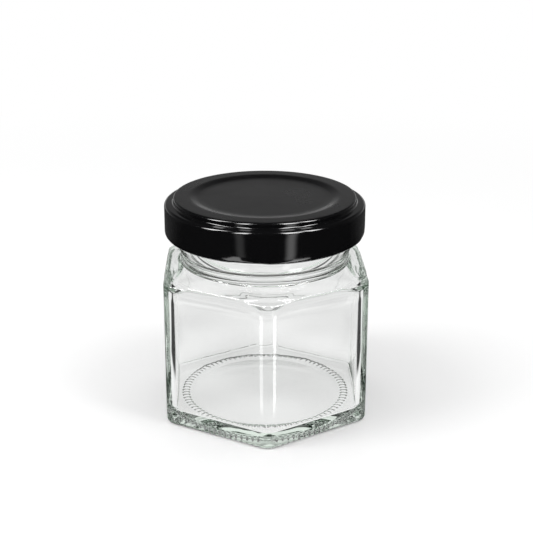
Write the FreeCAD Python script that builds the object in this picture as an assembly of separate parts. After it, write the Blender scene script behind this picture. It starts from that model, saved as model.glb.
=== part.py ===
import FreeCAD, Part
import math
import os

# Hexagonal glass jar closed by a lug cap, in millimetres.
#
# Frame: +Z up, origin at the middle of the base on the surface the jar stands on.
# The hexagon has a corner towards -Y and a flat towards +X and -X.
#
# glass_jar   one blown glass piece: heel, push-up, hexagonal wall, shoulder, bead and neck
# lid         one drawn tinplate piece: recessed panel, raised ring, ledge, skirt, rolled edge
#             and lugs
# lid_liner   the sealing ring under the lid, which the rim of the glass presses against

# Body of the jar
BODY_FLATS = 46.2
BODY_HEIGHT = 34.6
CORNER_RADIUS = 3.7
WALL = 1.9
INNER_CORNER_RADIUS = 2.6
BASE_THICKNESS = 3.1
HEEL_RADIUS = 0.9
FLOOR_RADIUS = 1.0
BEARING_WIDTH = 6.4
PUSH_UP_DEPTH = 1.0

# Shoulder, where the hexagon turns into the round neck
SHOULDER_RISE = 1.5
SHOULDER_SECTIONS = 7
SHOULDER_EASE = 0.8
INNER_SHOULDER_DROP = 1.5
INNER_SHOULDER_RISE = 2.1
NEARLY_ROUND = 0.97

# Neck, its bead and its rim
NECK_INSET = 3.6
NECK_WALL = 2.2
BEAD_DEPTH = 0.75
BEAD_HEIGHT = 3.2
BEAD_EDGE = 0.6
GROOVE_HEIGHT = 2.6
FINISH_HEIGHT = 8.0
RIM_EDGE = 0.8

# Cap
SHEET = 0.35
SKIRT_GAP = 3.3
LID_LIFT = 0.65
SKIRT_EDGE = 0.75
RING_MARGIN = 1.65
RING_EDGE = 0.55
LEDGE_DROP = 1.35
LEDGE_FILLET = 0.4
RING_OVERLAP = 0.1
PANEL_SLOPE = 2.0
PANEL_DEPTH = 0.45
CURL_RADIUS = 1.05
CURL_TURN = 235.0
LINER_THICKNESS = 0.7
LINER_MARGIN = 0.5

# Lugs, which hook under the glass of the neck
LUG_COUNT = 4
LUG_FIRST = -101.0
LUG_SPAN = 24.0
LUG_CLEARANCE = 0.5
LUG_THICKNESS = 0.9

HEXAGON_SIDES = 6
HALF_CORNER = 180.0 / HEXAGON_SIDES
AXIS = FreeCAD.Vector(0, 0, 1)
ORIGIN = FreeCAD.Vector(0, 0, 0)

body_half = BODY_FLATS / 2
cavity_half = body_half - WALL
push_up_radius = body_half - BEARING_WIDTH
neck_radius = body_half - NECK_INSET
bore_radius = neck_radius - NECK_WALL
neck_root = BODY_HEIGHT + SHOULDER_RISE
bead_base = neck_root + GROOVE_HEIGHT
bead_top = bead_base + BEAD_HEIGHT
rim_top = bead_top + FINISH_HEIGHT
lid_radius = neck_radius + SKIRT_GAP + SHEET
ring_radius = neck_radius + RING_MARGIN
lid_base = bead_top + LID_LIFT
lid_top = rim_top + LINER_THICKNESS + SHEET


def polar(radius, degrees, z):
    """Point at a radius and an angle from +X, at height z."""
    turn = math.radians(degrees)
    return FreeCAD.Vector(radius * math.cos(turn), radius * math.sin(turn), z)


def profile_point(radius, z):
    """Point of a profile that is turned about the axis."""
    return FreeCAD.Vector(radius, 0, z)


def line(start, end):
    """Straight edge between two points."""
    return Part.LineSegment(start, end).toShape()


def arc(start, middle, end):
    """Circular edge through three points."""
    return Part.Arc(start, middle, end).toShape()


def rounded_hexagon(half_flat, corner_radius, z):
    """Closed wire of six flats and six corner arcs, with a corner towards -Y."""
    to_centre = (half_flat - corner_radius) / math.cos(math.radians(HALF_CORNER))
    corners = []
    for index in range(HEXAGON_SIDES):
        angle = -90 + index * 2 * HALF_CORNER
        centre = polar(to_centre, angle, 0)
        points = []
        for turn in (-HALF_CORNER, 0, HALF_CORNER):
            points.append(centre + polar(corner_radius, angle + turn, z))
        corners.append(points)
    edges = []
    for index, points in enumerate(corners):
        following = corners[(index + 1) % HEXAGON_SIDES]
        edges.append(arc(*points))
        edges.append(line(points[2], following[0]))
    return Part.Wire(edges)


def hexagonal_prism(half_flat, corner_radius, base, height, edge_radius):
    """Upright hexagonal prism whose bottom edge is rounded."""
    face = Part.Face(rounded_hexagon(half_flat, corner_radius, base))
    prism = face.extrude(AXIS * height)
    bottom = [edge for edge in prism.Edges if edge.BoundBox.ZMax < base + 1e-4]
    return prism.makeFillet(edge_radius, bottom)


def hexagon_to_round(half_flat, corner_radius, round_radius, base, rise):
    """Loft from a rounded hexagon up to a circle, eased so that it leaves the wall gently."""
    wires = []
    for index in range(SHOULDER_SECTIONS):
        share = index / (SHOULDER_SECTIONS - 1)
        eased = share ** SHOULDER_EASE
        flat = half_flat + (round_radius - half_flat) * eased
        corner = corner_radius + (NEARLY_ROUND * round_radius - corner_radius) * eased
        wires.append(rounded_hexagon(flat, corner, base + rise * share))
    return Part.makeLoft(wires, True)


def turned(edges):
    """Solid turned about the axis from the closed profile that the edges make."""
    face = Part.Face(Part.Wire(Part.__sortEdges__(edges)))
    return face.revolve(ORIGIN, AXIS, 360)


def neck_solid():
    """Neck with the transfer bead at its foot and a rounded outer rim, not yet bored."""
    bead_radius = neck_radius + BEAD_DEPTH
    slope = BEAD_EDGE * (1 - math.sqrt(0.5))
    rim_slope = RIM_EDGE * (1 - math.sqrt(0.5))
    points = [
        profile_point(0, neck_root),
        profile_point(neck_radius, neck_root),
        profile_point(neck_radius, bead_base),
        profile_point(bead_radius - BEAD_EDGE, bead_base),
    ]
    edges = [line(a, b) for a, b in zip(points, points[1:])]
    edges.append(arc(
        points[-1],
        profile_point(bead_radius - slope, bead_base + slope),
        profile_point(bead_radius, bead_base + BEAD_EDGE),
    ))
    edges.append(line(
        profile_point(bead_radius, bead_base + BEAD_EDGE),
        profile_point(bead_radius, bead_top - BEAD_EDGE),
    ))
    edges.append(arc(
        profile_point(bead_radius, bead_top - BEAD_EDGE),
        profile_point(bead_radius - slope, bead_top - slope),
        profile_point(bead_radius - BEAD_EDGE, bead_top),
    ))
    edges.append(line(
        profile_point(bead_radius - BEAD_EDGE, bead_top),
        profile_point(neck_radius, bead_top),
    ))
    edges.append(line(
        profile_point(neck_radius, bead_top),
        profile_point(neck_radius, rim_top - RIM_EDGE),
    ))
    edges.append(arc(
        profile_point(neck_radius, rim_top - RIM_EDGE),
        profile_point(neck_radius - rim_slope, rim_top - rim_slope),
        profile_point(neck_radius - RIM_EDGE, rim_top),
    ))
    edges.append(line(profile_point(neck_radius - RIM_EDGE, rim_top), profile_point(0, rim_top)))
    edges.append(line(profile_point(0, rim_top), profile_point(0, neck_root)))
    return turned(edges)


def push_up():
    """Shallow dome under the base, so that the jar stands on its outer ring alone."""
    return turned([
        arc(
            profile_point(push_up_radius, 0),
            profile_point(push_up_radius * math.sqrt(0.5), PUSH_UP_DEPTH * 0.5),
            profile_point(0, PUSH_UP_DEPTH),
        ),
        line(profile_point(0, PUSH_UP_DEPTH), ORIGIN),
        line(ORIGIN, profile_point(push_up_radius, 0)),
    ])


def cavity():
    """Inside of the jar: hexagonal room, inner shoulder and round bore."""
    room_top = BODY_HEIGHT - INNER_SHOULDER_DROP
    room = hexagonal_prism(
        cavity_half, INNER_CORNER_RADIUS, BASE_THICKNESS, room_top - BASE_THICKNESS, FLOOR_RADIUS
    )
    shoulder = hexagon_to_round(
        cavity_half, INNER_CORNER_RADIUS, bore_radius, room_top, INNER_SHOULDER_RISE
    )
    bore_base = room_top + INNER_SHOULDER_RISE
    bore = Part.makeCylinder(bore_radius, rim_top - bore_base, FreeCAD.Vector(0, 0, bore_base))
    return room.fuse([shoulder, bore])


def glass_jar():
    """The whole glass piece."""
    body = hexagonal_prism(body_half, CORNER_RADIUS, 0, BODY_HEIGHT, HEEL_RADIUS)
    shoulder = hexagon_to_round(body_half, CORNER_RADIUS, neck_radius, BODY_HEIGHT, SHOULDER_RISE)
    outside = body.fuse([shoulder, neck_solid()])
    jar = outside.cut(cavity()).cut(push_up())
    mouth = [
        edge for edge in jar.Edges
        if edge.BoundBox.ZMin > rim_top - 1e-4 and edge.BoundBox.XMax < bore_radius + 1e-3
    ]
    return jar.makeFillet(RIM_EDGE, mouth)


def around(centre, radius, degrees):
    """Profile point at a radius and an angle from a centre."""
    turn = math.radians(degrees)
    return centre + profile_point(radius * math.cos(turn), radius * math.sin(turn))


def bend(centre, radius, start, end):
    """Arc of a profile about a centre, between two angles."""
    return arc(*(around(centre, radius, angle) for angle in (start, (start + end) / 2, end)))


def cap_line(inset):
    """Edges of the cap's section, on its outer face or an inset inside it, from panel to rolled edge."""
    slope_turn = math.atan2(PANEL_DEPTH, PANEL_SLOPE)
    shift = inset * math.tan(slope_turn / 2)
    step_outer = bore_radius - RING_OVERLAP
    ledge = lid_top - LEDGE_DROP
    bends = [
        (profile_point(ring_radius - RING_EDGE, lid_top - RING_EDGE), RING_EDGE - inset, 90, 0),
        (profile_point(ring_radius + LEDGE_FILLET, ledge + LEDGE_FILLET), LEDGE_FILLET + inset, 180, 270),
        (profile_point(lid_radius - SKIRT_EDGE, ledge - SKIRT_EDGE), SKIRT_EDGE - inset, 90, 0),
        (profile_point(lid_radius - CURL_RADIUS, lid_base + CURL_RADIUS), CURL_RADIUS - inset, 0, -CURL_TURN),
    ]
    first = profile_point(0, lid_top - PANEL_DEPTH - inset)
    here = first
    edges = []
    for point in (
        profile_point(step_outer - PANEL_SLOPE + shift, lid_top - PANEL_DEPTH - inset),
        profile_point(step_outer + shift, lid_top - inset),
    ):
        edges.append(line(here, point))
        here = point
    for centre, radius, start, end in bends:
        edges.append(line(here, around(centre, radius, start)))
        edges.append(bend(centre, radius, start, end))
        here = around(centre, radius, end)
    return edges, first, here


def lug(index):
    """One lug: a tongue pressed inwards from the rolled edge."""
    inner = neck_radius + LUG_CLEARANCE
    outer = lid_radius - CURL_RADIUS
    base = lid_base + SHEET / 2
    corners = [
        profile_point(inner, base + LUG_THICKNESS / 4),
        profile_point(outer, base),
        profile_point(outer, base + LUG_THICKNESS),
        profile_point(inner, base + LUG_THICKNESS * 3 / 4),
    ]
    face = Part.Face(Part.makePolygon(corners + corners[:1]))
    start = LUG_FIRST + index * 360 / LUG_COUNT - LUG_SPAN / 2
    tongue = face.revolve(ORIGIN, AXIS, LUG_SPAN)
    tongue.rotate(ORIGIN, AXIS, start)
    return tongue


def lid():
    """The tinplate cap with its lugs."""
    outer, outer_middle, outer_tip = cap_line(0)
    inner, inner_middle, inner_tip = cap_line(SHEET)
    shell = turned(outer + inner + [line(outer_middle, inner_middle), line(outer_tip, inner_tip)])
    return shell.fuse([lug(index) for index in range(LUG_COUNT)])


def lid_liner():
    """Flat sealing ring between the rim of the glass and the ring of the cap."""
    inner = bore_radius + LINER_MARGIN
    outer = neck_radius + LINER_MARGIN
    low = rim_top
    high = rim_top + LINER_THICKNESS
    corners = [
        profile_point(inner, low),
        profile_point(outer, low),
        profile_point(outer, high),
        profile_point(inner, high),
    ]
    return Part.Face(Part.makePolygon(corners + corners[:1])).revolve(ORIGIN, AXIS, 360)


def main():
    """Build every piece, report its size and write it."""
    os.makedirs("parts", exist_ok=True)
    for name, build in (("glass_jar", glass_jar), ("lid", lid), ("lid_liner", lid_liner)):
        shape = build()
        solids = shape.Solids
        print(name, "solids", len(solids), "valid", shape.isValid(), "volume", round(shape.Volume, 1))
        if len(solids) == 1:
            shape = solids[0]
        shape.exportStep(f"parts/{name}.step")


main()
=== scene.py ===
import logging
import math
from dataclasses import dataclass, field
from enum import Enum
from typing import Optional, Union

import bpy
import numpy as np
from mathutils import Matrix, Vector


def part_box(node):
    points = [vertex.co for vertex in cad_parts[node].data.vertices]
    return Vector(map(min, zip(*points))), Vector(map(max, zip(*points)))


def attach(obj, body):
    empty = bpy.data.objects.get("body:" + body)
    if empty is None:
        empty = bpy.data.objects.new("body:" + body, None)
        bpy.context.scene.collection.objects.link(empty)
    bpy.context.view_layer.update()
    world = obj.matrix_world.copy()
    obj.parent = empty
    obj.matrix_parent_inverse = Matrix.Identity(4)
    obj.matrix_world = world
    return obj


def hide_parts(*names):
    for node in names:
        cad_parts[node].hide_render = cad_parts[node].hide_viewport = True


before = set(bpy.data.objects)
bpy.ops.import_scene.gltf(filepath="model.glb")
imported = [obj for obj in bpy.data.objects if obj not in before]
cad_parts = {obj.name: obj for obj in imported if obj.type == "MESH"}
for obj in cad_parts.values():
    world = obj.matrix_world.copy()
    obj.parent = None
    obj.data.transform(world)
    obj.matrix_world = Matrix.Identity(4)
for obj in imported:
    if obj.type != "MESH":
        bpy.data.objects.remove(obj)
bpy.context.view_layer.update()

LOG = logging.getLogger("hexagonal_jar")
MM = 0.001
BODY = "root"
FLAT_TO_CORNER = math.pi / 6
WHITE = (1.0, 1.0, 1.0, 1.0)
Colour = tuple[float, float, float]
Outline = list[tuple[float, float]]
Faces = list[tuple[int, ...]]
Place = tuple[float, float, float]
Piece = bpy.types.Object
Socket = bpy.types.NodeSocket
Tree = bpy.types.NodeTree


class Slot(Enum):
    """The record's material slots."""

    GLASS = "clear_glass"
    LACQUER = "black_lacquer"
    COMPOUND = "sealing_compound"


class Node(Enum):
    """The solids that the pieces here stand for."""

    JAR = "glass_jar"
    LID = "lid"
    LINER = "lid_liner"


# ---- Node trees ----


def feed(tree: Tree, entry: object, target: Socket) -> None:
    """Link an input to a value or socket, or set a plain value on it.

    Args:
        tree: The tree that both are in.
        entry: A value, a socket, or what the input is set to.
        target: The input.
    """
    source = entry.socket if isinstance(entry, Value) else entry
    if isinstance(source, Socket):
        tree.links.new(source, target)
    else:
        target.default_value = source


class Value:
    """A number socket that can be used in ordinary arithmetic; each operator adds a Math node."""

    def __init__(self, tree: Tree, socket: Socket) -> None:
        """Wrap a socket, and remember the tree that new Math nodes go into."""
        self.tree = tree
        self.socket = socket

    def _math(self, operation: str, *others: "Number", swap: bool = False) -> "Value":
        """Add one Math node.

        Args:
            operation: The Math node's operation.
            others: The other operands, numbers or values.
            swap: True to put this value second.

        Returns:
            The node's result.
        """
        node = self.tree.nodes.new("ShaderNodeMath")
        node.operation = operation
        operands = [self, *others]
        if swap:
            operands[0], operands[1] = operands[1], operands[0]
        for index, operand in enumerate(operands):
            feed(self.tree, operand, node.inputs[index])
        return Value(self.tree, node.outputs[0])

    def __add__(self, other: "Number") -> "Value":
        """Sum."""
        return self._math("ADD", other)

    __radd__ = __add__

    def __sub__(self, other: "Number") -> "Value":
        """Difference."""
        return self._math("SUBTRACT", other)

    def __rsub__(self, other: "Number") -> "Value":
        """Difference with this value second."""
        return self._math("SUBTRACT", other, swap=True)

    def __mul__(self, other: "Number") -> "Value":
        """Product."""
        return self._math("MULTIPLY", other)

    __rmul__ = __mul__

    def __truediv__(self, other: "Number") -> "Value":
        """Quotient."""
        return self._math("DIVIDE", other)

    def __abs__(self) -> "Value":
        """Distance from zero."""
        return self._math("ABSOLUTE")

    def cosine(self) -> "Value":
        """Cosine of an angle in radians."""
        return self._math("COSINE")

    def angle_of(self, across: "Value") -> "Value":
        """Angle of the direction (across, self)."""
        return self._math("ARCTAN2", across)

    def root(self) -> "Value":
        """Square root."""
        return self._math("SQRT")

    def most(self, other: "Number") -> "Value":
        """The larger of two."""
        return self._math("MAXIMUM", other)

    def ramp(self, low: "Number", high: "Number") -> "Value":
        """Smooth step from 0 to 1.

        Args:
            low: Where it leaves 0.
            high: Where it reaches 1.

        Returns:
            The share.
        """
        node = self.tree.nodes.new("ShaderNodeMapRange")
        node.interpolation_type = "SMOOTHSTEP"
        node.clamp = True
        for name, entry in (("Value", self), ("From Min", low), ("From Max", high)):
            feed(self.tree, entry, node.inputs[name])
        return Value(self.tree, node.outputs["Result"])


Number = Union[Value, float, int]


class Graph:
    """A node tree with one method that adds any node."""

    def __init__(self, tree: Tree) -> None:
        """Start on a tree."""
        self.tree = tree

    def add(
        self, kind: str, settings: Optional[dict] = None, sockets: Optional[dict] = None
    ) -> bpy.types.Node:
        """Add one node.

        Args:
            kind: The node's type name.
            settings: Properties that are set first, such as an operation.
            sockets: Input values or links, by socket name or index.

        Returns:
            The new node.
        """
        node = self.tree.nodes.new(kind)
        for name, entry in (settings or {}).items():
            setattr(node, name, entry)
        for name, entry in (sockets or {}).items():
            feed(self.tree, entry, node.inputs[name])
        return node

    def value(self, socket: Socket) -> Value:
        """Wrap a socket for arithmetic."""
        return Value(self.tree, socket)

    def parts(self, vector: Socket) -> tuple[Value, Value, Value]:
        """Split a vector into its three numbers."""
        node = self.add("ShaderNodeSeparateXYZ", sockets={0: vector})
        return tuple(self.value(socket) for socket in node.outputs)

    def noise(self, place: Socket, scale: float, detail: float) -> Socket:
        """Cloudy noise from 0 to 1."""
        sockets = {"Vector": place, "Scale": scale, "Detail": detail}
        return self.add("ShaderNodeTexNoise", sockets=sockets).outputs["Fac"]

    def bump(
        self, height: Socket, distance: float, strength: float
    ) -> Socket:
        """Normal of a fine relief."""
        sockets = {"Height": height, "Distance": distance, "Strength": strength}
        return self.add("ShaderNodeBump", sockets=sockets).outputs["Normal"]

    def blend(self, share: Socket, low: Colour, high: Colour) -> Socket:
        """Colour between two."""
        sockets = {"Factor": share, 6: (*low, 1.0), 7: (*high, 1.0)}
        return self.add("ShaderNodeMix", {"data_type": "RGBA"}, sockets).outputs[2]

    def dress(self, sockets: dict, volume: Optional[bpy.types.Node] = None) -> None:
        """Add the surface and the material's output.

        Args:
            sockets: Inputs of the Principled surface.
            volume: The volume's node, if the finish has one.
        """
        surface = self.add("ShaderNodeBsdfPrincipled", sockets=sockets)
        ends = {"Surface": surface.outputs["BSDF"]}
        if volume is not None:
            ends["Volume"] = volume.outputs["Volume"]
        self.add("ShaderNodeOutputMaterial", sockets=ends)


def new_material(name: str) -> tuple[bpy.types.Material, Graph, Socket]:
    """Make an empty node material.

    Args:
        name: The material's name.

    Returns:
        The material, its graph, and the place in the piece's own frame.
    """
    material = bpy.data.materials.new(name)
    material.use_nodes = True
    material.node_tree.nodes.clear()
    graph = Graph(material.node_tree)
    return material, graph, graph.add("ShaderNodeTexCoord").outputs["Object"]


# ---- Finishes ----


@dataclass(frozen=True)
class ClearGlass:
    """Flint container glass: clear, with a faint green where light runs far through it."""

    refraction: float = 1.52
    roughness: float = 0.0
    tint: Colour = (0.66, 0.88, 0.70)
    tint_density: float = 9.0
    ripple_scale: float = 260.0
    ripple_height: float = 0.00001

    def build(self) -> bpy.types.Material:
        """Build the material.

        Returns:
            The finished material.
        """
        material, graph, place = new_material("clear_glass")
        ripple = graph.noise(place, self.ripple_scale, 1.0)
        volume = graph.add(
            "ShaderNodeVolumeAbsorption",
            sockets={"Color": (*self.tint, 1.0), "Density": self.tint_density},
        )
        graph.dress({
            "Base Color": WHITE,
            "Roughness": self.roughness,
            "IOR": self.refraction,
            "Transmission Weight": 1.0,
            "Normal": graph.bump(ripple, self.ripple_height, 1.0),
        }, volume)
        return material


@dataclass(frozen=True)
class BlackLacquer:
    """Black stoving lacquer on tinplate: satin on the panel, glossier where the sheet is drawn."""

    colour: Colour = (0.0035, 0.0035, 0.0038)
    inside_colour: Colour = (0.80, 0.79, 0.76)
    panel_roughness: float = 0.30
    skirt_roughness: float = 0.085
    panel_radius: float = 20.6 * MM
    panel_fade: float = 0.6 * MM
    smudge_scale: float = 90.0
    panel_smudge: float = 0.20
    skirt_smudge: float = 0.03
    specular: float = 0.42
    peel_scale: float = 1500.0
    peel_height: float = 0.0000022
    peel_strength: float = 0.6

    def build(self) -> bpy.types.Material:
        """Build the material.

        Returns:
            The finished material.
        """
        material, graph, place = new_material("black_lacquer")
        x, y, _ = graph.parts(place)
        off_panel = (x * x + y * y).root().ramp(
            self.panel_radius, self.panel_radius + self.panel_fade
        )
        cloud = graph.value(graph.noise(place, self.smudge_scale, 3.0))
        smudge = (cloud - 0.5) * (
            self.panel_smudge - off_panel * (self.panel_smudge - self.skirt_smudge)
        )
        satin = self.panel_roughness + off_panel * (self.skirt_roughness - self.panel_roughness)
        inside = graph.add("ShaderNodeAttribute", {"attribute_name": "inside"}).outputs["Fac"]
        peel = graph.noise(place, self.peel_scale, 2.0)
        graph.dress({
            "Base Color": graph.blend(inside, self.colour, self.inside_colour),
            "Roughness": satin + smudge,
            "Specular IOR Level": self.specular,
            "Normal": graph.bump(peel, self.peel_height, self.peel_strength),
        })
        return material


@dataclass(frozen=True)
class SealingCompound:
    """Soft off-white compound flowed into the cap's ring."""

    colour: Colour = (0.62, 0.61, 0.57)
    dark_share: float = 0.92
    roughness: float = 0.55
    grain_scale: float = 700.0
    grain_height: float = 0.02 * MM

    def build(self) -> bpy.types.Material:
        """Build the material.

        Returns:
            The finished material.
        """
        material, graph, place = new_material("sealing_compound")
        grain = graph.noise(place, self.grain_scale, 3.0)
        dark = tuple(self.dark_share * part for part in self.colour)
        graph.dress({
            "Base Color": graph.blend(grain, dark, self.colour),
            "Roughness": self.roughness,
            "Normal": graph.bump(grain, self.grain_height, 0.5),
        })
        return material


# ---- Mesh helpers ----


def smooth_share(value: np.ndarray | float) -> np.ndarray | float:
    """Smooth step of a share from 0 to 1."""
    held = np.clip(value, 0, 1)
    return held * held * (3 - 2 * held)


def quarter(start: float, end: float, steps: int) -> list[float]:
    """Angles in radians from start to end degrees, both included."""
    return [math.radians(start + (end - start) * index / steps) for index in range(steps + 1)]


def arc(
    centre: tuple[float, float], radius: float, start: float, end: float, steps: int
) -> Outline:
    """Points of an arc, both ends included.

    Args:
        centre: The arc's centre.
        radius: Its radius.
        start: First angle in degrees.
        end: Last angle in degrees.
        steps: Number of parts.

    Returns:
        The points in order.
    """
    across, up = centre
    return [
        (across + radius * math.cos(angle), up + radius * math.sin(angle))
        for angle in quarter(start, end, steps)
    ]


def ring_points(turns: np.ndarray, radius: np.ndarray | float, z: np.ndarray | float) -> np.ndarray:
    """Points of one ring about the axis."""
    tall = np.broadcast_to(z, turns.shape)
    return np.stack([radius * np.cos(turns), radius * np.sin(turns), tall], axis=1)


def squared(share: float, power: float) -> float:
    """Pull a sine or cosine towards a squarer curve, with its sign kept."""
    return math.copysign(abs(share) ** power, share)


def mesh_piece(name: str, points: np.ndarray, faces: Faces) -> Piece:
    """Make a smooth mesh object at the origin.

    Args:
        name: The piece's name.
        points: Vertex places in metres.
        faces: Vertex indices of each face.

    Returns:
        The new object, linked to the scene.
    """
    mesh = bpy.data.meshes.new(name)
    mesh.from_pydata([tuple(point) for point in points], [], faces)
    mesh.validate()
    mesh.polygons.foreach_set("use_smooth", [True] * len(mesh.polygons))
    mesh.update()
    piece = bpy.data.objects.new(name, mesh)
    bpy.context.scene.collection.objects.link(piece)
    return piece


def skin_rings(
    rings: list[np.ndarray],
    first_pole: Optional[Vector] = None,
    last_pole: Optional[Vector] = None,
    joined: bool = False,
) -> tuple[np.ndarray, Faces]:
    """Join rings of equal point counts into one surface.

    Args:
        rings: Ring points in order, each an array of places.
        first_pole: Point that closes the first ring, or None.
        last_pole: Point that closes the last ring, or None.
        joined: True if the last ring joins the first, as in a tube.

    Returns:
        All points, and the faces.
    """
    count = len(rings[0])
    points = np.concatenate(rings)
    faces = []
    pairs = len(rings) if joined else len(rings) - 1
    for row in range(pairs):
        here = row * count
        there = ((row + 1) % len(rings)) * count
        for index in range(count):
            following = (index + 1) % count
            faces.append((here + index, here + following, there + following, there + index))
    if first_pole is not None:
        points = np.vstack([points, first_pole])
        faces += [((index + 1) % count, index, len(points) - 1) for index in range(count)]
    if last_pole is not None:
        points = np.vstack([points, last_pole])
        start = (len(rings) - 1) * count
        pole = len(points) - 1
        faces += [(start + index, start + (index + 1) % count, pole) for index in range(count)]
    return points, faces


def finish_piece(piece: Piece, node: Node) -> None:
    """Declare a piece to the frame.

    Args:
        piece: The finished object.
        node: The solid that it stands for.
    """
    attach(piece, BODY)
    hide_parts(node.value)
    LOG.info("%s: %d faces", piece.name, len(piece.data.polygons))


def bake_tree(piece: Piece, tree: Tree, inputs: dict[str, object]) -> None:
    """Run a Geometry Nodes tree on a piece and keep its result as a plain mesh.

    Args:
        piece: The object to work on.
        tree: The node tree.
        inputs: The tree's inputs by name.
    """
    modifier = piece.modifiers.new(tree.name, "NODES")
    modifier.node_group = tree
    for entry in tree.interface.items_tree:
        if entry.item_type == "SOCKET" and entry.in_out == "INPUT" and entry.name in inputs:
            modifier[entry.identifier] = inputs[entry.name]
    bpy.context.view_layer.update()
    evaluated = piece.evaluated_get(bpy.context.evaluated_depsgraph_get())
    result = bpy.data.meshes.new_from_object(evaluated)
    piece.modifiers.remove(modifier)
    old = piece.data
    piece.data = result
    result.name = old.name
    bpy.data.meshes.remove(old)


def new_geometry_tree(
    name: str, inputs: dict[str, tuple[str, object]]
) -> tuple[Graph, bpy.types.Node, bpy.types.Node]:
    """Start a Geometry Nodes tree with named inputs.

    Args:
        name: The tree's name.
        inputs: Type and default of each input by name.

    Returns:
        The graph, its input node and its output node.
    """
    tree = bpy.data.node_groups.new(name, "GeometryNodeTree")
    tree.interface.new_socket("Geometry", in_out="INPUT", socket_type="NodeSocketGeometry")
    for label, (kind, default) in inputs.items():
        kind = "NodeSocket" + kind
        socket = tree.interface.new_socket(label, in_out="INPUT", socket_type=kind)
        if default is not None:
            socket.default_value = default
    tree.interface.new_socket("Geometry", in_out="OUTPUT", socket_type="NodeSocketGeometry")
    graph = Graph(tree)
    return graph, graph.add("NodeGroupInput"), graph.add("NodeGroupOutput")


def end_geometry_tree(
    graph: Graph, geometry: Socket, entry: bpy.types.Node, leave: bpy.types.Node
) -> None:
    """Close a tree with Realize Instances and Set Material.

    Args:
        graph: The tree's graph.
        geometry: The finished geometry.
        entry: The tree's input node, which has a Material input.
        leave: The tree's output node.
    """
    real = graph.add("GeometryNodeRealizeInstances", sockets={"Geometry": geometry})
    dressed = graph.add(
        "GeometryNodeSetMaterial",
        sockets={"Geometry": real.outputs["Geometry"], "Material": entry.outputs["Material"]},
    )
    graph.tree.links.new(dressed.outputs["Geometry"], leave.inputs["Geometry"])


# ---- The glass jar ----


@dataclass
class Section:
    """One level of the glass: a hexagon with rounded corners, or a circle."""

    half_flat: float
    corner: float
    z: float

    @staticmethod
    def circle(radius: float, z: float) -> "Section":
        """Level that is a circle."""
        return Section(radius, radius, z)

    def inset(self, depth: float, z: float) -> "Section":
        """The same outline, moved in and set at another height."""
        return Section(self.half_flat - depth, self.corner - depth, z)

    def radius_at(self, off_corner: np.ndarray) -> np.ndarray:
        """Distance of the level's edge from the axis.

        Args:
            off_corner: Angles from the nearest corner, in radians.

        Returns:
            The distance at each angle.
        """
        cosine, sine = math.cos(FLAT_TO_CORNER), math.sin(FLAT_TO_CORNER)
        reach = (self.half_flat - self.corner) / cosine
        away = np.abs(off_corner)
        tangent = math.atan2(self.corner * sine, reach + self.corner * cosine)
        on_flat = self.half_flat / np.cos(FLAT_TO_CORNER - away)
        inside = np.maximum(self.corner**2 - (reach * np.sin(away)) ** 2, 0.0)
        on_corner = reach * np.cos(away) + np.sqrt(inside)
        return np.where(away > tangent, on_flat, on_corner)


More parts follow.
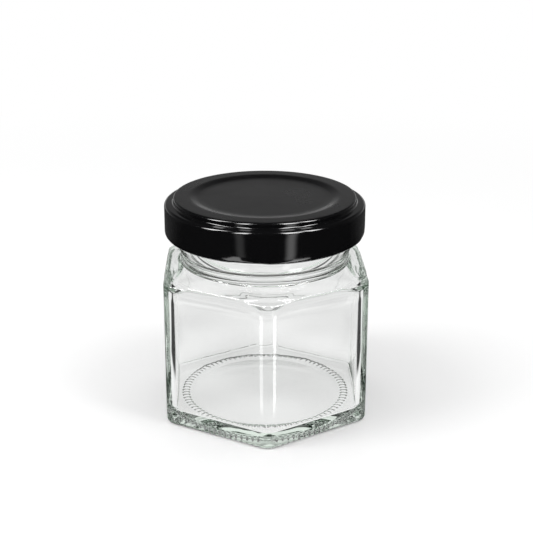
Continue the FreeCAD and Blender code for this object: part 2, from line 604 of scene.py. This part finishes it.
@dataclass
class GlassJar:
    """The glass: heel with its stippled ring, hexagonal wall, shoulder, bead, thread and rim."""

    finish: ClearGlass = field(default_factory=ClearGlass)
    corner_radius: float = 3.7 * MM
    inner_corner_radius: float = 3.7 * MM
    wall: float = 1.9 * MM
    base_thickness: float = 3.1 * MM
    heel_radius: float = 0.9 * MM
    floor_radius: float = 1.0 * MM
    push_up_radius: float = 16.7 * MM
    push_up_depth: float = 0.45 * MM
    body_height: float = 34.6 * MM
    shoulder_rise: float = 1.5 * MM
    shoulder_edge: float = 0.35 * MM
    crease_radius: float = 23.9 * MM
    crease_step: float = 0.5 * MM
    crease_width: float = 0.5 * MM
    shoulder_steps: int = 20
    shoulder_power: float = 0.7
    inner_shoulder_steps: int = 14
    inner_shoulder_power: float = 1.8
    inner_drop: float = 2.6 * MM
    inner_rise: float = 3.2 * MM
    groove_height: float = 2.6 * MM
    groove_rib: float = 0.16 * MM
    neck_fillet: float = 0.4 * MM
    neck_radius: float = 19.5 * MM
    bore_radius: float = 17.3 * MM
    bead_depth: float = 0.42 * MM
    bead_height: float = 3.2 * MM
    bead_edge: float = 0.32 * MM
    rim_edge: float = 0.8 * MM
    thread_depth: float = 1.05 * MM
    thread_half_width: float = 0.85 * MM
    thread_span: float = 78.0
    thread_fall: float = 2.2 * MM
    thread_top: float = 1.9 * MM
    thread_count: int = 4
    thread_first: float = -140.0
    stipple_count: int = 86
    stipple_depth: float = 0.6 * MM
    stipple_inner: float = 17.8 * MM
    stipple_outer: float = 19.4 * MM
    stipple_fade: float = 0.35 * MM
    ripple: float = 0.05 * MM
    ripple_scale: float = 95.0
    corner_steps: int = 28
    flat_steps: int = 70
    corner_zone: float = 6.0

    def __post_init__(self) -> None:
        """Read the overall sizes from the frame."""
        low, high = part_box(Node.JAR.value)
        self.half_flat = (high.x - low.x) / 2
        self.rim_top = high.z
        self.neck_root = self.body_height + self.shoulder_rise
        self.bead_top = self.neck_root + self.groove_height + self.bead_height

    def angles(self) -> tuple[np.ndarray, np.ndarray]:
        """Angles of a ring's points, closer together round the corners.

        Returns:
            The angle from +X of each point, and its angle from the nearest corner, in radians.
        """
        zone = self.corner_zone
        near = np.linspace(-zone, zone, self.corner_steps, endpoint=False)
        far = np.linspace(zone, 60.0 - zone, self.flat_steps, endpoint=False)
        sector = np.concatenate([near, far])
        turns = np.concatenate([-90.0 + 60.0 * index + sector for index in range(6)])
        off = np.where(sector > 30.0, sector - 60.0, sector)
        return np.radians(turns), np.radians(np.tile(off, 6))

    def underside(self) -> list[Section]:
        """Levels from the middle of the push-up to the bottom of the wall.

        Returns:
            The levels in order.
        """
        levels = []
        for share in (0.12, 0.3, 0.5, 0.68, 0.82, 0.92, 0.97):
            radius = self.push_up_radius * share
            levels.append(Section.circle(radius, self.push_up_depth * (1 - share**2)))
        for radius in np.linspace(self.push_up_radius, self.stipple_outer + 0.3 * MM, 15):
            levels.append(Section.circle(float(radius), 0.0))
        heel = self.heel_radius
        start = levels[-1].half_flat
        for share in (0.35, 0.7):
            flat = start + (self.half_flat - heel - start) * share
            corner = start + (self.corner_radius - heel - start) * share
            levels.append(Section(flat, corner, 0.0))
        wall = Section(self.half_flat, self.corner_radius, heel)
        for angle in quarter(-90, 0, 7):
            inset = heel * (1 - math.cos(angle))
            levels.append(wall.inset(inset, heel * (1 + math.sin(angle))))
        return levels

    def outer_wall(self) -> list[Section]:
        """Levels up the wall, round its top edge and over the shoulder to the neck.

        Returns:
            The levels in order.
        """
        levels = []
        edge = self.shoulder_edge
        wall = Section(self.half_flat, self.corner_radius, self.heel_radius)
        for z in np.linspace(self.heel_radius, self.body_height - edge, 9)[1:-1]:
            levels.append(wall.inset(0.0, float(z)))
        for angle in quarter(0, 70, 4):
            inset = edge * (1 - math.cos(angle))
            levels.append(wall.inset(inset, self.body_height - edge * (1 - math.sin(angle))))
        start = levels[-1]
        foot = self.neck_radius + self.neck_fillet
        top = self.neck_root - self.neck_fillet * 0.6
        for index in range(1, self.shoulder_steps + 1):
            share = index / self.shoulder_steps
            flat = start.half_flat + (foot - start.half_flat) * share
            corner = start.corner + (foot - start.corner) * share**self.shoulder_power
            levels.append(Section(flat, corner, start.z + (top - start.z) * share))
        for angle in quarter(-75, 0, 4):
            radius = foot - self.neck_fillet * math.cos(angle)
            z = self.neck_root + self.neck_fillet * (0.4 + math.sin(angle))
            levels.append(Section.circle(max(radius, self.neck_radius), z))
        return levels

    def neck(self) -> list[Section]:
        """Levels of the groove, the bead, the threaded wall and the rounded rim.

        Returns:
            The levels in order.
        """
        bead_radius = self.neck_radius + self.bead_depth
        edge = self.bead_edge
        bead_base = self.neck_root + self.groove_height
        levels = []
        for share in (0.0, 0.25, 0.5, 0.75, 1.0):
            swell = self.groove_rib * math.sin(math.pi * share)
            z = self.neck_root + (0.7 + share) * MM
            levels.append(Section.circle(self.neck_radius + swell, z))
        levels += self.rounded(bead_radius, bead_base + edge, edge, -90, 0)
        levels += self.rounded(bead_radius, self.bead_top - edge, edge, 0, 90)
        levels.append(Section.circle(self.neck_radius + 0.06 * MM, self.bead_top + 0.05 * MM))
        rim_start = self.rim_top - self.rim_edge
        for z in np.linspace(self.bead_top + 0.3 * MM, rim_start - 0.1 * MM, 26):
            levels.append(Section.circle(self.neck_radius, float(z)))
        levels += self.rounded(self.neck_radius, rim_start, self.rim_edge, 0, 90)
        levels += self.rounded(self.bore_radius, rim_start, self.rim_edge, 90, 0, side=-1)
        return levels

    @staticmethod
    def rounded(
        radius: float, z: float, edge: float, start: float, end: float, side: int = 1
    ) -> list[Section]:
        """Levels of a rounded edge.

        Args:
            radius: Radius of the wall that the edge belongs to.
            z: Height of the edge's centre.
            edge: The edge's own radius.
            start: First angle in degrees, 0 being level with the centre.
            end: Last angle in degrees.
            side: 1 for the outer edge of a wall, -1 for its inner edge.

        Returns:
            The levels in order.
        """
        levels = []
        for angle in quarter(start, end, 5):
            inset = side * edge * (1 - math.cos(angle))
            levels.append(Section.circle(radius - inset, z + edge * math.sin(angle)))
        return levels

    def inside(self) -> list[Section]:
        """Levels down the bore, under the shoulder, down the inner wall and over the floor.

        Returns:
            The levels in order.
        """
        room_top = self.body_height - self.inner_drop
        shoulder_top = room_top + self.inner_rise
        half = self.half_flat - self.wall
        inner_corner = self.inner_corner_radius
        wall = Section(half, inner_corner, room_top)
        bore_ends = (self.rim_top - 3 * MM, self.bead_top)
        levels = [Section.circle(self.bore_radius, z) for z in bore_ends]
        for index in range(self.inner_shoulder_steps, -1, -1):
            share = index / self.inner_shoulder_steps
            flat = half + (self.bore_radius - half) * share
            corner = inner_corner + (self.bore_radius - inner_corner) * share
            sag = (1 - share) ** self.inner_shoulder_power
            levels.append(Section(flat, corner, shoulder_top - (shoulder_top - room_top) * sag))
        floor = self.base_thickness
        for z in np.linspace(room_top, floor + self.floor_radius, 12)[1:-1]:
            levels.append(wall.inset(0.0, float(z)))
        for angle in quarter(0, -90, 7):
            inset = self.floor_radius * (1 - math.cos(angle))
            levels.append(wall.inset(inset, floor + self.floor_radius * (1 + math.sin(angle))))
        last = levels[-1]
        for share in (0.93, 0.8, 0.6, 0.35, 0.15):
            levels.append(Section(last.half_flat * share, last.corner * share, floor))
        return levels

    def corner_drop(self, radius: np.ndarray, z: float) -> np.ndarray:
        """How far the shoulder's corners step down outside its round crease.

        Args:
            radius: Distances from the axis.
            z: The level's height.

        Returns:
            The drop at each distance.
        """
        step = smooth_share((radius - self.crease_radius) / self.crease_width)
        above = smooth_share((z - self.body_height + 2 * self.crease_step) / self.crease_step)
        return step * self.crease_step * above

    def thread(self, turns: np.ndarray, z: float) -> np.ndarray:
        """How far the interrupted thread stands out of the neck at one level.

        Args:
            turns: Angles from +X, in radians.
            z: The level's height.

        Returns:
            The height of the thread at each angle.
        """
        height = np.zeros_like(turns)
        for index in range(self.thread_count):
            first = self.thread_first + index * 360.0 / self.thread_count
            along = np.mod(np.degrees(turns) - first, 360.0) / self.thread_span
            middle = self.rim_top - self.thread_top - self.thread_fall * (1 - along)
            across = np.clip(1 - ((z - middle) / self.thread_half_width) ** 2, 0, 1)
            ends = np.clip(np.minimum(along, 1 - along) * 8, 0, 1)
            height += np.where(along < 1, across * ends, 0.0)
        return height * self.thread_depth

    def build(self) -> Piece:
        """Returns:
            The finished piece.
        """
        turns, off_corner = self.angles()
        outside = self.underside() + self.outer_wall() + self.neck()
        rings = []
        for level in outside:
            radius = level.radius_at(off_corner)
            if level.z > self.bead_top + 0.2 * MM:
                radius = radius + self.thread(turns, level.z)
            drop = self.corner_drop(radius, level.z)
            rings.append(ring_points(turns, radius, level.z - drop))
        for level in self.inside():
            rings.append(ring_points(turns, level.radius_at(off_corner), level.z))
        points, faces = skin_rings(
            rings, Vector((0, 0, self.push_up_depth)), Vector((0, 0, self.base_thickness))
        )
        piece = mesh_piece("jar_glass", points, faces)
        material = self.finish.build()
        bake_tree(piece, self.pressed_detail(), {
            "Material": material,
            "Stipple Count": float(self.stipple_count),
            "Stipple Depth": self.stipple_depth,
            "Inner Radius": self.stipple_inner,
            "Outer Radius": self.stipple_outer,
            "Ripple": self.ripple,
        })
        finish_piece(piece, Node.JAR)
        return piece

    def pressed_detail(self) -> Tree:
        """Geometry Nodes tree that presses the stippled ring and ripples the inner wall.

        Returns:
            The tree.
        """
        graph, entry, leave = new_geometry_tree("pressed_detail", {
            "Material": ("Material", None),
            "Stipple Count": ("Float", 100.0),
            "Stipple Depth": ("Float", 0.0003),
            "Inner Radius": ("Float", 0.017),
            "Outer Radius": ("Float", 0.019),
            "Ripple": ("Float", 0.00003),
        })
        place = graph.add("GeometryNodeInputPosition").outputs["Position"]
        x, y, z = graph.parts(place)
        radius = (x * x + y * y).root()
        names = ("Stipple Count", "Stipple Depth", "Inner Radius", "Outer Radius", "Ripple")
        count, depth, inner, outer, ripple = (graph.value(entry.outputs[name]) for name in names)
        under = 1 - z.ramp(0.02 * MM, 0.1 * MM)
        fade = self.stipple_fade
        band = radius.ramp(inner, inner + fade) * (1 - radius.ramp(outer - fade, outer))
        wave = (y.angle_of(x) * count).cosine() * 0.5 + 0.5
        lift = band * under * wave * depth
        lifted = graph.add(
            "GeometryNodeSetPosition",
            sockets={
                "Geometry": entry.outputs["Geometry"],
                "Offset": graph.add("ShaderNodeCombineXYZ", sockets={"Z": lift}).outputs["Vector"],
            },
        )
        noise = graph.add(
            "ShaderNodeTexNoise",
            {"noise_dimensions": "3D"},
            {"Vector": place, "Scale": self.ripple_scale, "Detail": 1.0, "Roughness": 0.4},
        )
        within = 1 - radius.ramp(21.3 * MM, 21.6 * MM)
        inside = within * z.ramp(3.0 * MM, 3.6 * MM) * (1 - z.ramp(37 * MM, 38 * MM))
        swell = (graph.value(noise.outputs["Fac"]) - 0.5) * inside * ripple * 2
        normal = graph.add("GeometryNodeInputNormal").outputs["Normal"]
        sockets = {0: normal, "Scale": swell}
        push = graph.add("ShaderNodeVectorMath", {"operation": "SCALE"}, sockets)
        rippled = graph.add(
            "GeometryNodeSetPosition",
            sockets={"Geometry": lifted.outputs["Geometry"], "Offset": push.outputs["Vector"]},
        )
        end_geometry_tree(graph, rippled.outputs["Geometry"], entry, leave)
        return graph.tree


# ---- The cap ----


@dataclass
class LugCap:
    """The tinplate cap: recessed panel, raised ring, stepped shoulder, skirt, rolled edge, lugs."""

    finish: BlackLacquer = field(default_factory=BlackLacquer)
    sheet: float = 0.35 * MM
    panel_depth: float = 0.45 * MM
    step_outer: float = 17.3 * MM
    step_inner: float = 15.3 * MM
    ring_edge: float = 21.15 * MM
    ring_round: float = 0.55 * MM
    ledge_drop: float = 1.35 * MM
    ledge_round: float = 0.4 * MM
    skirt_round: float = 0.75 * MM
    curl: float = 0.95 * MM
    skirt_drop: float = 0.45 * MM
    lug_count: int = 4
    lug_first: float = -101.0
    lug_span: float = 24.0
    lug_reach: float = 20.0 * MM
    lug_thickness: float = 0.9 * MM
    lug_dent: float = 0.12 * MM
    curl_turn: float = 235.0
    turns: int = 288

    def __post_init__(self) -> None:
        """Read the overall sizes from the frame."""
        low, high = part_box(Node.LID.value)
        self.radius = (high.x - low.x) / 2
        self.base = low.z - self.skirt_drop
        self.top = high.z

    def outline(self, inset: float) -> Outline:
        """Radius and height along the sheet's face, from the panel to the rolled edge.

        Args:
            inset: Distance from the outer face into the sheet.

        Returns:
            The outline's points.
        """
        top = self.top
        panel = top - self.panel_depth
        points = [(self.step_inner * share, panel) for share in (0.05, 0.25, 0.5, 0.75, 0.9)]
        slope = (self.step_outer - self.step_inner) / 2
        for index in range(9):
            share = index / 8
            eased = smooth_share(share) * 0.35 + share * 0.65
            points.append((self.step_inner + 2 * slope * share, panel + self.panel_depth * eased))
        points.append((self.step_outer + 0.5 * MM, top))
        points.append((self.ring_edge - 2 * self.ring_round, top))
        ring_centre = (self.ring_edge - self.ring_round, top - self.ring_round)
        points += arc(ring_centre, self.ring_round, 90, 8, 7)
        ledge = top - self.ledge_drop
        ledge_centre = (self.ring_edge + self.ledge_round, ledge + self.ledge_round)
        points += arc(ledge_centre, self.ledge_round, 188, 262, 5)
        skirt_centre = (self.radius - self.skirt_round, ledge - self.skirt_round)
        points += arc(skirt_centre, self.skirt_round, 86, 0, 8)
        low = self.base + self.curl
        points += [(self.radius, float(z)) for z in np.linspace(skirt_centre[1], low, 6)[1:-1]]
        points += arc((self.radius - self.curl, low), self.curl, 0, -self.curl_turn, 16)
        return points if inset == 0 else self.inset_line(points, inset)

    @staticmethod
    def inset_line(points: Outline, inset: float) -> Outline:
        """Shift an outline into the sheet along its own normals.

        Args:
            points: The outline's points.
            inset: How far to shift them.

        Returns:
            The shifted points.
        """
        line = np.array(points)
        along = np.gradient(line, axis=0)
        along /= np.linalg.norm(along, axis=1)[:, None]
        shifted = line + inset * np.stack([along[:, 1], -along[:, 0]], axis=1)
        shifted[0, 0] = line[0, 0]
        return [tuple(point) for point in shifted]

    def press_lugs(self, ring: np.ndarray) -> np.ndarray:
        """Dent the rolled edge where the lugs are pressed in.

        Args:
            ring: Points of one ring.

        Returns:
            The dented ring.
        """
        radius = np.hypot(ring[:, 0], ring[:, 1])
        turn = np.degrees(np.arctan2(ring[:, 1], ring[:, 0]))
        pitch = 360.0 / self.lug_count
        off = np.mod(turn - self.lug_first + pitch / 2, pitch) - pitch / 2
        share = np.clip(1 - np.abs(off) / (self.lug_span / 2), 0, 1)
        share = smooth_share(share * 2.5)
        low = np.clip(1 - (ring[:, 2] - self.base) / (2.0 * self.curl), 0, 1)
        pressed = ring.copy()
        shrink = 1 - share * low * self.lug_dent / np.maximum(radius, 1 * MM)
        pressed[:, 0] *= shrink
        pressed[:, 1] *= shrink
        pressed[:, 2] += share * low * self.lug_dent * 0.9
        return pressed

    def shell(self) -> Piece:
        """Build the drawn sheet.

        Returns:
            The sheet as one closed piece.
        """
        outer = self.outline(0)
        inner = self.outline(self.sheet)
        turns = np.linspace(0, 2 * math.pi, self.turns, endpoint=False)
        rings = []
        for radius, z in outer + inner[::-1]:
            rings.append(self.press_lugs(ring_points(turns, radius, z)))
        panel = self.top - self.panel_depth
        points, faces = skin_rings(rings, Vector((0, 0, panel)), Vector((0, 0, panel - self.sheet)))
        piece = mesh_piece("lid_shell", points, [face[::-1] for face in faces])
        inside = np.zeros(len(points), dtype=np.float32)
        inside[len(outer) * self.turns:] = 1.0
        inside[-2] = 0.0  # The outer face's pole.
        piece.data.attributes.new("inside", "FLOAT", "POINT").data.foreach_set("value", inside)
        return piece

    def lug_blank(self) -> Piece:
        """Build one lug as a short bent tongue about +X.

        Returns:
            The tongue, which the tree repeats round the cap.
        """
        rows = []
        half = self.lug_span / 2
        outer = self.radius - 1.3 * self.curl
        for turn in np.linspace(-half, half, 17):
            end = abs(turn) / half
            reach = self.lug_reach + (outer - self.lug_reach) * 0.85 * end**5
            middle = self.base + 0.75 * self.lug_thickness
            ring = []
            for angle in quarter(0, 345, 23):
                share = 0.5 + 0.5 * math.cos(angle)
                radius = reach + (outer - reach) * share
                tall = self.lug_thickness / 2 * (0.75 + 0.25 * share)
                z = middle + tall * squared(math.sin(angle), 0.6)
                place = math.radians(turn)
                ring.append((radius * math.cos(place), radius * math.sin(place), z))
            rows.append(np.array(ring))
        poles = [Vector(row.mean(axis=0)) for row in (rows[0], rows[-1])]
        points, faces = skin_rings(rows, poles[0], poles[1])
        return mesh_piece("lid_lugs", points, faces)

    def lug_ring(self) -> Tree:
        """Geometry Nodes tree that sets the lug round the cap at even spacing.

        Returns:
            The tree.
        """
        graph, entry, leave = new_geometry_tree("lug_ring", {
            "Material": ("Material", None),
            "Count": ("Int", 4),
            "First Angle": ("Float", 0.0),
        })
        here = (0, 0, 0)
        sockets = {"Count": entry.outputs["Count"], "Start Location": here, "Offset": here}
        line = graph.add("GeometryNodeMeshLine", sockets=sockets)
        index = graph.value(graph.add("GeometryNodeInputIndex").outputs["Index"])
        count = graph.value(entry.outputs["Count"])
        turn = index * (2 * math.pi) / count + graph.value(entry.outputs["First Angle"])
        rotation = graph.add("ShaderNodeCombineXYZ", sockets={"Z": turn})
        placed = graph.add(
            "GeometryNodeInstanceOnPoints",
            sockets={
                "Points": line.outputs["Mesh"],
                "Instance": entry.outputs["Geometry"],
                "Rotation": rotation.outputs["Vector"],
            },
        )
        end_geometry_tree(graph, placed.outputs["Instances"], entry, leave)
        return graph.tree

    def build(self) -> list[Piece]:
        """Returns:
            The sheet and the ring of lugs.
        """
        material = self.finish.build()
        shell = self.shell()
        shell.data.materials.append(material)
        lugs = self.lug_blank()
        bake_tree(lugs, self.lug_ring(), {
            "Material": material,
            "Count": self.lug_count,
            "First Angle": math.radians(self.lug_first),
        })
        for piece in (shell, lugs):
            finish_piece(piece, Node.LID)
        return [shell, lugs]


@dataclass
class SealingRing:
    """The ring of sealing compound under the cap."""

    finish: SealingCompound = field(default_factory=SealingCompound)
    hole_radius: float = 17.8 * MM
    squareness: float = 0.5
    turns: int = 192

    def build(self) -> Piece:
        """Returns:
            The finished piece.
        """
        low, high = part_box(Node.LINER.value)
        outer = (high.x - low.x) / 2
        middle, half = (outer + self.hole_radius) / 2, (outer - self.hole_radius) / 2
        centre_z, tall = (low.z + high.z) / 2, (high.z - low.z) / 2
        turns = np.linspace(0, 2 * math.pi, self.turns, endpoint=False)
        rings = []
        for angle in quarter(0, 345, 23):
            radius = middle + half * squared(math.cos(angle), self.squareness)
            z = centre_z + tall * squared(math.sin(angle), self.squareness)
            rings.append(ring_points(turns, radius, z))
        points, faces = skin_rings(rings, joined=True)
        piece = mesh_piece("lid_liner_ring", points, [face[::-1] for face in faces])
        piece.data.materials.append(self.finish.build())
        finish_piece(piece, Node.LINER)
        return piece


# ---- The studio ----


@dataclass
class Softbox:
    """A lamp with a soft rectangular face."""

    name: str
    place: Place
    size: tuple[float, float]
    power: float

    def build(self) -> None:
        """Hang the lamp, facing the jar."""
        data = bpy.data.lights.new(self.name, "AREA")
        data.shape = "RECTANGLE"
        data.size, data.size_y = self.size
        data.energy = self.power
        lamp = bpy.data.objects.new(self.name, data)
        lamp.location = self.place
        aim = Vector((0, 0, 0.03)) - Vector(self.place)
        lamp.rotation_euler = aim.to_track_quat("-Z", "Y").to_euler()
        lamp.visible_camera = False
        lamp.visible_glossy = False
        lamp.visible_transmission = False
        bpy.context.scene.collection.objects.link(lamp)


class StripPlace(Enum):
    """Where the reflection of a strip light falls."""

    SKY = "above the horizon"
    FAR_FLOOR = "floor that the cap's skirt reflects"
    NEAR_FLOOR = "floor that the glass reflects"


@dataclass(frozen=True)
class StripLight:
    """A tall soft strip of light that gloss and glass reflect, at one azimuth from +X."""

    azimuth: float
    half_width: float
    softness: float
    strength: float
    place: StripPlace = StripPlace.SKY

    def glow(self, azimuth: Value) -> Value:
        """Brightness of the strip.

        Args:
            azimuth: Angle from +X, in radians.

        Returns:
            The strength there.
        """
        half = math.radians(self.half_width)
        off = abs(azimuth - math.radians(self.azimuth))
        return (1 - off.ramp(half, half + math.radians(self.softness))) * self.strength


@dataclass
class Studio:
    """White floor and surroundings, soft lamps and the camera."""

    floor_reach: float = 3.0
    floor_gap: float = 0.03 * MM
    floor_colour: Colour = (0.84, 0.84, 0.84)
    floor_glow_seen: float = 0.18
    shadow_reach: float = 0.06
    shadow_fade: float = 0.28
    world_light: float = 0.86
    dark_flag: float = 0.03
    cloud_scale: float = 34.0
    cloud_level: float = 0.90
    cloud_depth: float = 0.5
    clear_reach: float = 42.0 * MM
    strip_apex: float = 25.0 * MM
    strip_start: float = 36.0 * MM
    strip_split: float = 105.0 * MM
    strips: tuple[StripLight, ...] = (
        StripLight(-60.0, 1.0, 8.0, 2.6, StripPlace.FAR_FLOOR),
        StripLight(-122.0, 1.0, 7.0, 0.7, StripPlace.FAR_FLOOR),
        StripLight(-44.0, 10.0, 2.0, 6.0, StripPlace.NEAR_FLOOR),
        StripLight(-136.0, 10.0, 2.0, 4.0, StripPlace.NEAR_FLOOR),
        StripLight(-58.0, 8.0, 3.0, 26.0),
        StripLight(-31.0, 6.0, 3.0, 26.0),
        StripLight(-120.0, 6.0, 3.0, 22.0),
        StripLight(-160.0, 6.0, 3.0, 26.0),
    )
    bounces: int = 32
    lens: float = 73.6
    distance: float = 0.240
    height: float = 0.1233
    pitch: float = 16.8
    turn: float = -1.66
    shift: tuple[float, float] = (0.0032, -0.134)

    @staticmethod
    def rays(graph: Graph) -> tuple[Value, Value, Value]:
        """Tell the kinds of ray apart.

        Args:
            graph: The material's or world's graph.

        Returns:
            1 for a ray from the camera, through glass, and off gloss.
        """
        path = graph.add("ShaderNodeLightPath")
        seen = graph.value(path.outputs["Is Camera Ray"])
        through = graph.value(path.outputs["Is Transmission Ray"])
        gloss = graph.value(path.outputs["Is Glossy Ray"]) * (1 - through)
        return seen, through, gloss

    def floor(self) -> None:
        """Lay the pale floor: white through glass, dim in gloss, and with the jar's shadow."""
        reach = self.floor_reach
        low = -self.floor_gap
        signs = ((-1, -1), (1, -1), (1, 1), (-1, 1))
        corners = np.array([(reach * across, reach * along, low) for across, along in signs])
        piece = mesh_piece("floor", corners, [(0, 1, 2, 3)])
        material, graph, place = new_material("studio_floor")
        seen, through, gloss = self.rays(graph)
        pale = graph.add("ShaderNodeBsdfDiffuse", sockets={"Color": (*self.floor_colour, 1.0)})
        x, y, _ = graph.parts(place)
        reach_out = (x * x + y * y).root()
        far = reach_out.ramp(self.strip_split, self.strip_split + 10 * MM)
        near = (1 - far) * reach_out.ramp(self.strip_start, self.strip_start + 10 * MM)
        share = {StripPlace.SKY: 0.0, StripPlace.FAR_FLOOR: far, StripPlace.NEAR_FLOOR: near}
        azimuth = (y + self.strip_apex).angle_of(x)
        mirrored = y.ramp(0.02, 0.1) * 0.07
        mirrored = mirrored + sum(strip.glow(azimuth) * share[strip.place] for strip in self.strips)
        open_floor = reach_out.ramp(self.shadow_reach, self.shadow_reach + self.shadow_fade)
        seen_glow = self.floor_glow_seen + open_floor * (1 - self.floor_glow_seen)
        glow = seen * seen_glow + through + gloss
        cloud = graph.value(graph.noise(place, self.cloud_scale, 1.0))
        clear = self.cloud_level + (cloud - 0.5) * self.cloud_depth
        close = 1 - reach_out.ramp(self.clear_reach, self.clear_reach + 8 * MM)
        behind = (y / reach_out.most(1 * MM)).ramp(0.4, 0.55)
        glassy = self.dark_flag + close.most(behind) * clear
        strength = 1 - gloss - through + through * glassy + gloss * mirrored
        light = graph.add("ShaderNodeEmission", sockets={"Color": WHITE, "Strength": strength})
        mixed = graph.add(
            "ShaderNodeMixShader",
            sockets={0: glow, 1: pale.outputs["BSDF"], 2: light.outputs["Emission"]},
        )
        graph.add("ShaderNodeOutputMaterial", sockets={"Surface": mixed.outputs["Shader"]})
        piece.data.materials.append(material)

    def surroundings(self) -> None:
        """White all round for the eye, with dark flags that only glass and gloss can see."""
        world = bpy.data.worlds.new("studio")
        bpy.context.scene.world = world
        world.use_nodes = True
        world.node_tree.nodes.clear()
        graph = Graph(world.node_tree)
        direction = graph.add("ShaderNodeTexCoord").outputs["Generated"]
        x, y, z = graph.parts(direction)
        seen, through, gloss = self.rays(graph)
        soft = (1 - seen) * (1 - through) * (1 - gloss)
        behind = y.ramp(0.35, 0.5)
        low = 1 - z.ramp(0.32, 0.50)
        clear = self.dark_flag + behind * low * 0.88
        azimuth = y.angle_of(x)
        tall = z.ramp(0.30, 0.42) * (1 - z.ramp(0.80, 0.92))
        sheen = 0.02 + y.ramp(0.0, 0.9) * (1 - z.ramp(0.34, 0.52)) * 0.19
        sheen = sheen + y.ramp(0.4, 0.9) * (1 - abs(z).ramp(0.03, 0.2)) * 0.8
        sky_strips = [strip for strip in self.strips if strip.place is StripPlace.SKY]
        sheen = sheen + tall * sum(strip.glow(azimuth) for strip in sky_strips)
        strength = seen + through * clear + gloss * sheen + soft * self.world_light
        sky = graph.add("ShaderNodeBackground", sockets={"Color": WHITE, "Strength": strength})
        graph.add("ShaderNodeOutputWorld", sockets={"Surface": sky.outputs["Background"]})

    def camera(self) -> None:
        """Stand the camera before the corner of the hexagon."""
        data = bpy.data.cameras.new("camera")
        data.lens = self.lens
        data.sensor_width = 36.0
        data.shift_x, data.shift_y = self.shift
        data.clip_start = 0.01
        camera = bpy.data.objects.new("camera", data)
        turn = math.radians(self.turn)
        camera.location = (
            self.distance * math.sin(turn), -self.distance * math.cos(turn), self.height
        )
        camera.rotation_euler = (math.radians(90 - self.pitch), 0, turn)
        bpy.context.scene.collection.objects.link(camera)
        bpy.context.scene.camera = camera

    def build(self) -> None:
        """Set up the whole studio."""
        self.floor()
        self.surroundings()
        lamps = [
            Softbox("softbox_left", (-0.32, -0.10, 0.42), (0.16, 0.30), 1.1),
            Softbox("softbox_right", (0.26, -0.16, 0.50), (0.10, 0.26), 0.8),
        ]
        for lamp in lamps:
            lamp.build()
        scene = bpy.context.scene
        scene.view_settings.view_transform = "Standard"
        scene.cycles.max_bounces = self.bounces
        scene.cycles.glossy_bounces = self.bounces
        scene.cycles.transmission_bounces = self.bounces
        self.camera()


def main() -> None:
    """Build every piece of the jar and the studio round it."""
    logging.basicConfig(level=logging.INFO, format="%(message)s")
    for builder in (GlassJar(), LugCap(), SealingRing(), Studio()):
        builder.build()
        LOG.info("built %s", type(builder).__name__)


if __name__ == "__main__":
    main()
